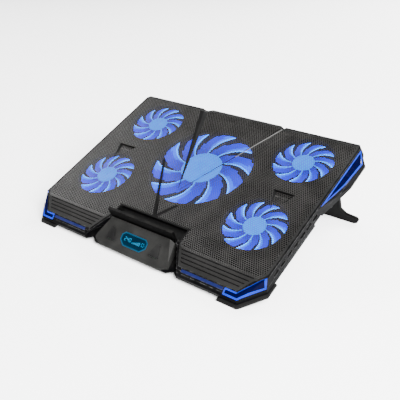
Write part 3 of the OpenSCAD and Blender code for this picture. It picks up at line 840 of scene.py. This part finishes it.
    @staticmethod
    def _slab(made: Sculpt, low: Point, high: Point) -> None:
        """Adds a flat plate of folded sheet between two corners."""
        (x0, y0, z0), (x1, y1, z1) = low, high
        flat = [(x0, y0), (x1, y0), (x1, y1), (x0, y1)]
        made.prism([(x, y, z0) for x, y in flat], [(x, y, z1) for x, y in flat])

    def _slope_plate(
        self, made: Sculpt, side: int, span: tuple[float, float], drop: float, thick: float
    ) -> None:
        """Adds a plate that follows the front slope on one side of the pod.

        Args:
            made: The shape to add it to.
            side: -1 for the left, 1 for the right.
            span: Its front and rear edges.
            drop: How far its top lies below the sheet's top.
            thick: Its thickness.
        """
        y0, y1 = span
        flat = [
            (self._slope_edge(y0, False), y0), (self._slope_edge(y0, True), y0),
            (self._slope_edge(y1, True), y1), (self._slope_edge(y1, False), y1),
        ]
        if side < 0:
            flat = [(-x, y) for x, y in reversed(flat)]
        top = [(x, y, self.height(x, min(y, self.fold_y)) - drop) for x, y in flat]
        made.prism([(x, y, z - thick) for x, y, z in top], top)

    def _louvres(self) -> Thing:
        """The plain ribs of the front slope."""
        made = Sculpt("front_louvres")
        first, rib, pitch, count = self.front + 1.6, 3.3, 4.7, 5
        for side in (-1, 1):
            for k in range(count):
                start = first + k * pitch
                self._slope_plate(made, side, (start, start + rib), 0.0, self.sheet)
        return made.piece(self.space.matrix)

    def _groove_floor(self) -> Thing:
        """The sheet that shows in the grooves between the ribs, painted near-black as the shade in the
        grooves.
        """
        made = Sculpt("groove_floor")
        drop, thick = self.sheet + 0.1, 0.3
        for side in (-1, 1):
            self._slope_plate(made, side, (self.front + 1.0, self.fold_y + 2.6), drop, thick)
        return made.piece(self.space.matrix)

    def _slope_edge(self, y: float, outer: bool) -> float:
        """Where the front slope starts or ends, from the middle, at a distance from the front."""
        (x0, y0), (x1, y1) = (75.3, self.front), (60.5, 38.0)
        if outer:
            (x0, y0), (x1, y1) = (158.6, self.front), (self.half, 42.5)
        x = x0 + (x1 - x0) * (y - y0) / (y1 - y0)
        return x - 2.8 if outer else x + 2.2

    def _folds(self) -> Thing:
        """The plain folded walls of the trough and the dimples, and the pressed V, all painted near-black
        as the shade in the folds.
        """
        made = Sculpt("deck_folds")
        lift, thick = 0.12, 0.5
        # Both trough walls are painted near-black as shade; the left one has a wider plain band of painted
        # shade.
        for side, strip in ((-1, self.trough_shade_strip), (1, 0.4)):
            rings: list[list[Point]] = []
            for k in (0.02, 0.25, 0.5, 0.75, 0.93):
                y = self.trough_apex + k * (self.trough_end - self.trough_apex)
                outer, inner = (side * half * k for half in self.trough_half)
                plain = outer + side * strip * k
                low = self.top - self.trough_depth * k
                rings.append([
                    (plain, y, self.top + lift), (outer, y, self.top + lift), (inner, y, low + lift),
                    (inner, y, low - thick), (outer, y, self.top - thick), (plain, y, self.top - thick),
                ])
            made.loft(rings)
            # The pressed V is a near-black channel of painted shade; its right arm stops short where that
            # shade fades.
            start = (0.0, self.crease_apex, self.top + 0.05)
            share = self.crease_short if side > 0 else 1.0
            far = self.crease_apex + (self.crease_end[1] - self.crease_apex) * share
            end = (side * self.crease_end[0] * share, far, self.top + 0.05)
            self._channel(made, start, end)
            self._dimple_walls(made, side)
        return made.piece(self.space.matrix)

    def _channel(self, made: Sculpt, start: Point, end: Point) -> None:
        """Adds a V-shaped groove pressed along a line."""
        along = (Vector(end) - Vector(start)).normalized()
        across = Vector((-along.y, along.x, 0.0))
        half, deep, thick = self.crease_half + 0.2, self.crease_depth, 0.5
        section = ((-1, 0.0), (0, -deep), (1, 0.0), (1, -thick), (0, -deep - thick), (-1, -thick))
        rings = [
            [tuple(Vector(p) + across * (u * half) + Vector((0.0, 0.0, v))) for u, v in section]
            for p in (start, end)
        ]
        made.loft(rings)

    def _dimple_walls(self, made: Sculpt, side: int) -> None:
        """Adds the plain walls along a dimple's two sides and its rear."""
        y0, y1 = self.dimple_y
        half, deep, lift = self.dimple_half, self.dimple_depth, 0.12
        middle = side * self.dimple_x
        for turn in (-1, 1):
            rings = [
                [(middle + turn * half * k, y0 + (y1 - y0) * k, self.top + lift),
                 (middle + turn * (half - 3.6) * k, y0 + (y1 - y0) * k, self.top - deep * k + lift),
                 (middle + turn * (half - 3.6) * k, y0 + (y1 - y0) * k, self.top - deep * k - 0.5),
                 (middle + turn * half * k, y0 + (y1 - y0) * k, self.top - 0.5)]
                for k in (0.05, 0.5, 1.0)
            ]
            made.loft(rings)
        low = self.top - deep - 0.4
        self._slab(made, (middle - half, y1 - 0.3, low), (middle + half, y1 + 1.0, self.top + lift))

    def _lip(self) -> Thing:
        """The rounded lip where the sheet is folded back along the trough's right edge, in lighter paint
        as a painted highlight; the left edge has none.
        """
        made = Sculpt("trough_lip")
        size, sides = 0.7, 8
        turns = [2 * math.pi * j / sides for j in range(sides)]
        rings: list[list[Point]] = []
        for k in (0.5, 0.65, 0.8, 0.93):
            y = self.trough_apex + k * (self.trough_end - self.trough_apex)
            x = self.trough_half[0] * k + 0.2
            rings.append([(x + size * math.cos(a), y, self.top + 0.5 * size * math.sin(a)) for a in turns])
        made.loft(rings)
        return made.piece(self.space.matrix, smooth=60)

    def build(self) -> list[Thing]:
        """Makes the deck's pieces and hides the plain CAD sheet."""
        third = 61.5
        made = [
            self._field("deck_mesh_left", -self.half, -third),
            self._field("deck_mesh_centre", -third, third),
            self._field("deck_mesh_right", third, self.half),
            self._edge(),
            self._pocket(),
            self._folds(),
            self._lip(),
            self._louvres(),
            self._groove_floor(),
        ]
        # Pocket, fold walls, crease and groove floor get near-black paint as painted shade; the trough lip
        # gets lighter paint as a painted highlight.
        for thing, finish in zip(made, (DECK, DECK, DECK, RIM, PAINTED_SHADE, PAINTED_SHADE, LIP_HIGHLIGHT, LOUVRE, PAINTED_SHADE)):
            self.paint.dress(thing, finish)
            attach(thing, "base")
            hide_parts("mesh_deck")
        return made


# ---- fans ----


@dataclass
class Impeller:
    """One fan wheel: a lit hub cap, swept blades and a bead on each blade's edge whose brighter glow is a
    painted highlight.
    """

    space: PadSpace
    paint: Paintbox
    name: str
    blades: int
    tip: float = field(init=False)
    hub: float = field(init=False)
    sweep: float = -27.0
    overlap: float = 1.06
    pitch_drop: float = 2.2
    steps: int = 14
    large_tip: float = 72.0

    def __post_init__(self) -> None:
        """Reads the wheel's place and size from the CAD nodes."""
        joint = next(j for j in frame["joints"] if j["name"] == f"{self.name}_fan_spin")
        low, high = self.space.box(f"{self.name}_impeller")
        magnet_low, magnet_high = self.space.box(f"{self.name}_magnet")
        self.tip = (high.x - low.x) / 2
        self.hub = (magnet_high.x - magnet_low.x) / 2 + 1.6
        self.low, self.high = low.z, high.z
        centre = self.space.matrix.inverted() @ Vector(joint["pos_m"])
        self.place = self.space.matrix @ Matrix.Translation((centre.x, centre.y, 0.0))

    def _lead(self, t: float) -> float:
        """Angle of the clockwise edge at a share of the way out, in degrees."""
        return self.sweep * t * (0.55 + 0.45 * t)

    def _trail(self, t: float) -> float:
        """Angle of the counter-clockwise edge."""
        return self._lead(t) + 360.0 / self.blades * self.overlap

    def _point(self, t: float, u: float, turn: float, lift: float = 0.0) -> Point:
        """A point on a blade's middle surface.

        Args:
            t: Share of the way from hub to tip.
            u: Share of the way from the clockwise edge to the other.
            turn: The blade's place round the wheel, in degrees.
            lift: Extra height.

        Returns:
            The point in the wheel's own millimetres.
        """
        radius = self.hub - 0.6 + (self.tip - self.hub + 0.6) * t
        angle = math.radians(turn + self._lead(t) * (1 - u) + self._trail(t) * u)
        camber = math.sin(math.pi * u) * 0.8
        z = self.high - 1.3 - self.pitch_drop * (0.35 + 0.65 * t) * u - camber + lift
        return radius * math.cos(angle), radius * math.sin(angle), z

    def _blades(self) -> Thing:
        """All blades as one piece, each a thin cambered wing."""
        made = Sculpt(f"{self.name}_blades")
        chord = 10
        for k in range(self.blades):
            turn = 360 * k / self.blades
            rings: list[list[Point]] = []
            for j in range(self.steps + 1):
                t = j / self.steps
                thick = 1.1 - 0.4 * t
                lifts = [thick / 2 * math.sin(math.pi * (0.1 + 0.8 * i / chord)) for i in range(chord + 1)]
                top = [self._point(t, i / chord, turn, lifts[i]) for i in range(chord + 1)]
                under = [self._point(t, i / chord, turn, -lifts[i]) for i in range(chord, -1, -1)]
                rings.append(top + under)
            made.loft(rings)
        thing = made.piece(self.place, smooth=50, own_frame=True)
        self.paint.dress(thing, BLADE)
        # Two more slots: painted shadow on each blade's trailing band, where the next blade overlaps it,
        # and a painted highlight on its leading band.
        for finish in (BLADE_SHADE, BLADE_HIGHLIGHT):
            thing.data.materials.append(self.paint.material(finish))
        ring_size = 2 * (chord + 1)
        wall = self.steps * ring_size
        for face in thing.data.polygons:
            at = face.index % (wall + 2)
            if at < wall:
                t, column = (at // ring_size + 0.5) / self.steps, at % ring_size
                u = (column + 0.5) / chord if column < chord else (ring_size - 1.5 - column) / chord
                if u > 0.82 - 0.28 * t:
                    face.material_index = 1
                elif u < 0.08 + 0.20 * t:
                    face.material_index = 2
        return thing

    def _beads(self) -> Thing:
        """The rounded bead along each blade's clockwise edge, which takes a painted highlight."""
        made = Sculpt(f"{self.name}_blade_edges")
        sides = 8
        for k in range(self.blades):
            turn = 360 * k / self.blades
            rings: list[list[Point]] = []
            for j in range(self.steps + 1):
                t = 0.02 + 0.97 * j / self.steps
                x, y, z = self._point(t, 0.0, turn)
                taper = math.sin(math.pi * min(0.5, 0.12 + (1 - t) * 3.0))
                size = (0.5 + 0.95 * t) * (self.tip / self.large_tip) ** 0.45 * taper
                out = Vector((x, y, 0.0)).normalized()
                angle = math.radians(turn + self._lead(t))
                side = Vector((-math.sin(angle), math.cos(angle), 0.0))
                centre, up = Vector((x, y, z)) - out * 0.2, Vector((0.0, 0.0, 1.0))
                rings.append([
                    tuple(centre + side * size * 1.3 * math.cos(a) + up * 0.55 * size * math.sin(a))
                    for a in (2 * math.pi * i / sides for i in range(sides))
                ])
            made.loft(rings)
        return made.piece(self.place, smooth=60, own_frame=True)

    def _hub(self) -> Thing:
        """The hub: a cup with a rounded shoulder, a shallow ring groove and a dished middle."""
        made = Sculpt(f"{self.name}_hub")
        r, top, low = self.hub, self.high, self.low
        wall = 1.6
        profile = [
            (r - wall, low), (r, low), (r, top - 1.4), (r - 0.4, top - 0.5), (r - 1.4, top),
            (r * 0.80, top), (r * 0.78, top - 0.35), (r * 0.74, top - 0.35), (r * 0.72, top),
            (r * 0.30, top), (r * 0.24, top - 0.3), (0.9, top - 0.4),
            (0.9, top - 1.6), (r - wall, top - 1.6),
        ]
        count = 72
        made.loft([ring(radius, z, count) for radius, z in profile], looped=True)
        return made.piece(self.place, smooth=40, own_frame=True)

    def build(self) -> list[Thing]:
        """Makes the wheel's pieces and hides its plain CAD wheel."""
        made = [self._blades(), self._beads(), self._hub()]
        for thing, finish in zip(made[1:], (BLADE_EDGE_HIGHLIGHT, HUB)):
            self.paint.dress(thing, finish)
        for thing in made:
            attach(thing, f"{self.name}_fan")
            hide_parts(f"{self.name}_impeller")
        return made


# ---- display ----


class Segment(Enum):
    """The seven bars of a digit: centre x, centre y and whether the bar lies flat."""

    TOP = (0.0, 1.0, True)
    MIDDLE = (0.0, 0.0, True)
    BOTTOM = (0.0, -1.0, True)
    UPPER_LEFT = (-1.0, 0.5, False)
    UPPER_RIGHT = (1.0, 0.5, False)
    LOWER_LEFT = (-1.0, -0.5, False)
    LOWER_RIGHT = (1.0, -0.5, False)


LIT: dict[int, tuple[Segment, ...]] = {
    2: (Segment.TOP, Segment.UPPER_RIGHT, Segment.MIDDLE, Segment.LOWER_LEFT, Segment.BOTTOM),
    4: (Segment.UPPER_LEFT, Segment.UPPER_RIGHT, Segment.MIDDLE, Segment.LOWER_RIGHT),
    0: tuple(s for s in Segment if s is not Segment.MIDDLE),
}


@dataclass
class Display:
    """The pod's reading: digits, a level bar and a small wheel mark, just above the window."""

    space: PadSpace
    paint: Paintbox
    slope: float = 27.3
    centre: tuple[float, float] = (17.25, 14.85)
    rise: float = 0.03
    thick: float = 0.12

    def _face(self) -> Matrix:
        """From the pod face's own millimetres to row-frame metres."""
        turn = Matrix.Rotation(math.radians(self.slope), 4, "X")
        return self.space.matrix @ Matrix.Translation((0.0, *self.centre)) @ turn

    def _bar(self, made: Sculpt, x: float, y: float, w: float, h: float) -> None:
        """Adds one lit bar with pointed ends along its longer side."""
        a, b = w / 2, h / 2
        if w > h:
            flat = [(-a, 0), (b - a, -b), (a - b, -b), (a, 0), (a - b, b), (b - a, b)]
        else:
            flat = [(0, -b), (a, a - b), (a, b - a), (0, b), (-a, b - a), (-a, a - b)]
        low, high = self.rise, self.rise + self.thick
        made.prism([(x + u, y + v, low) for u, v in flat], [(x + u, y + v, high) for u, v in flat])

    def _digit(self, made: Sculpt, value: int, x: float, y: float, size: float) -> None:
        """Adds one seven-bar digit."""
        for segment in LIT[value]:
            sx, sy, flat = segment.value
            long, thin = size * 0.95, size * 0.26
            wide, tall = (long, thin) if flat else (thin, long)
            self._bar(made, x + sx * size * 0.5, y + sy * size, wide, tall)

    def build(self) -> Thing:
        """Makes the reading and fixes it to the pod."""
        made = Sculpt("display_reading")
        for value, x in ((2, -14.0), (4, -10.0), (0, -6.0)):
            self._digit(made, value, x, 0.8, 2.3)
        for k in range(7):
            self._bar(made, -1.6 + 1.9 * k, -1.6 + 0.28 * k, 0.9, 1.8 + 0.56 * k)
        for k in range(6):
            a = math.radians(60 * k)
            self._bar(made, 15.0 + 2.2 * math.cos(a), 0.8 + 2.2 * math.sin(a), 1.7, 0.7)
        thing = made.piece(self._face())
        self.paint.dress(thing, DIGIT)
        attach(thing, "base")
        return thing


# ---- CAD nodes ----


@dataclass
class CadNodes:
    """Dresses the CAD nodes that stay in view."""

    paint: Paintbox

    def finishes(self) -> dict[str, Finish | Glow]:
        """The finish of each CAD node."""
        table: dict[str, Finish | Glow] = {
            "bottom_cover": COVER, "top_frame": FRAME, "mesh_deck": DECK, "pod_cover": POD,
            "left_button": BUTTON, "right_button": BUTTON, "laptop_stop": STOP, "stop_cushion": RUBBER,
            "front_feet": RUBBER, "rear_feet": RUBBER, "left_leg": LEG, "right_leg": LEG,
            "left_leg_sole": RUBBER, "right_leg_sole": RUBBER, "leg_pins": STEEL, "stop_pins": STEEL,
            "board_screws": STEEL, "cover_screws": SCREW, "usb_sockets": STEEL,
            "usb_board": BOARD, "led_boards": BOARD, "control_board": BOARD, "motor_boards": BOARD,
            "led_chips": CHIP, "tact_switches": BLACK, "lcd_module": BLACK,
            "stator_cores": CORE, "stator_coils": COPPER, "bearing_bushes": BRASS,
            "display_ring": DISPLAY_EDGE, "display_window": DISPLAY,
        }
        for end in ("front", "rear"):
            for side in ("left", "right"):
                table[f"{end}_{side}_light_ring"] = EDGE_LIGHT
                table[f"{end}_{side}_lens"] = LENS
        for side in ("left", "right"):
            table[f"front_{side}_strip"] = STRIP
        for fan in FAN_BLADES:
            table[f"{fan}_impeller"] = BLADE
            table[f"{fan}_magnet"] = FERRITE
            table[f"{fan}_shaft"] = STEEL
        return table

    def build(self) -> None:
        """Gives every CAD node its finish."""
        for node, finish in self.finishes().items():
            self.paint.dress(frame["nodes"][node], finish)


FAN_BLADES: dict[str, int] = {
    "centre": 10, "front_left": 11, "front_right": 11, "rear_left": 11, "rear_right": 11,
}


# ---- studio ----


@dataclass(frozen=True)
class Studio:
    """Camera, pale floor and soft light."""

    eye: Point = (0.46293, -0.58036, 0.39439)
    aim: Point = (0.02263, -0.01525, 0.045)
    lens: float = 53.83
    sky: float = 0.35
    paper: float = 5.0

    def camera(self) -> None:
        """Sets up the camera."""
        data = bpy.data.cameras.new("camera")
        data.lens = self.lens
        data.sensor_width = 36.0
        data.clip_start, data.clip_end = 0.01, 20.0
        aimed("camera", data, self.eye, self.aim)
        bpy.context.scene.camera = bpy.data.objects["camera"]

    def floor(self) -> None:
        """Lays the pale floor."""
        made = Sculpt("floor")
        size = 2600.0
        corners = ((-1, -1), (1, -1), (1, 1), (-1, 1))
        made.add([(x * size, y * size, 0.0) for x, y in corners], [(0, 1, 2, 3)])
        thing = made.piece(Matrix.Scale(MM, 4))
        paper = {"Base Color": (0.96, 0.96, 0.96, 1.0), "Roughness": 0.9}
        material, _, _ = new_skin("floor_paper", paper)
        thing.data.materials.append(material)

    def light(self, name: str, place: Point, power: float, size: float) -> None:
        """Adds a soft square light that faces the pad.

        Args:
            name: The light's name.
            place: Where it hangs, in metres.
            power: Its power in watts.
            size: Its side in metres.
        """
        data = bpy.data.lights.new(name, "AREA")
        data.energy = power
        data.size = size
        aimed(name, data, place, (0.0, 0.0, 0.0))

    def build(self) -> None:
        """Builds the studio, camera first."""
        self.camera()
        self.floor()
        world = bpy.data.worlds.new("studio")
        bpy.context.scene.world = world
        world.use_nodes = True
        w = Shader(world.node_tree)
        split = w.node("ShaderNodeMixShader")
        w.link(w.node("ShaderNodeLightPath").outputs["Is Camera Ray"], split.inputs["Fac"])
        for slot, strength in ((1, self.sky), (2, self.paper)):
            plain = w.node("ShaderNodeBackground", {"Color": (1.0, 1.0, 1.0, 1.0), "Strength": strength})
            w.link(plain.outputs["Background"], split.inputs[slot])
        w.link(split.outputs["Shader"], w.node("ShaderNodeOutputWorld").inputs["Surface"])
        self.light("key", (2.5, -1.1, 2.1), 1050.0, 2.4)
        self.light("back", (0.4, 2.8, 1.6), 260.0, 2.0)
        self.light("sheen", (-2.6, 0.4, 1.9), 90.0, 1.4)


def main() -> None:
    """Builds the pad's looks round the CAD frame."""
    logging.basicConfig(level=logging.INFO, format="%(name)s: %(message)s")
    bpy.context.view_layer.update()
    Studio().build()
    space = PadSpace.from_frame()
    paint = Paintbox()
    CadNodes(paint).build()
    made = PunchedDeck(space, paint).build()
    for name, blades in FAN_BLADES.items():
        made += Impeller(space, paint, name, blades).build()
    made.append(Display(space, paint).build())
    for thing in made:
        LOG.info("%s: %d faces", thing.name, len(thing.data.polygons))


if __name__ == "__main__":
    main()
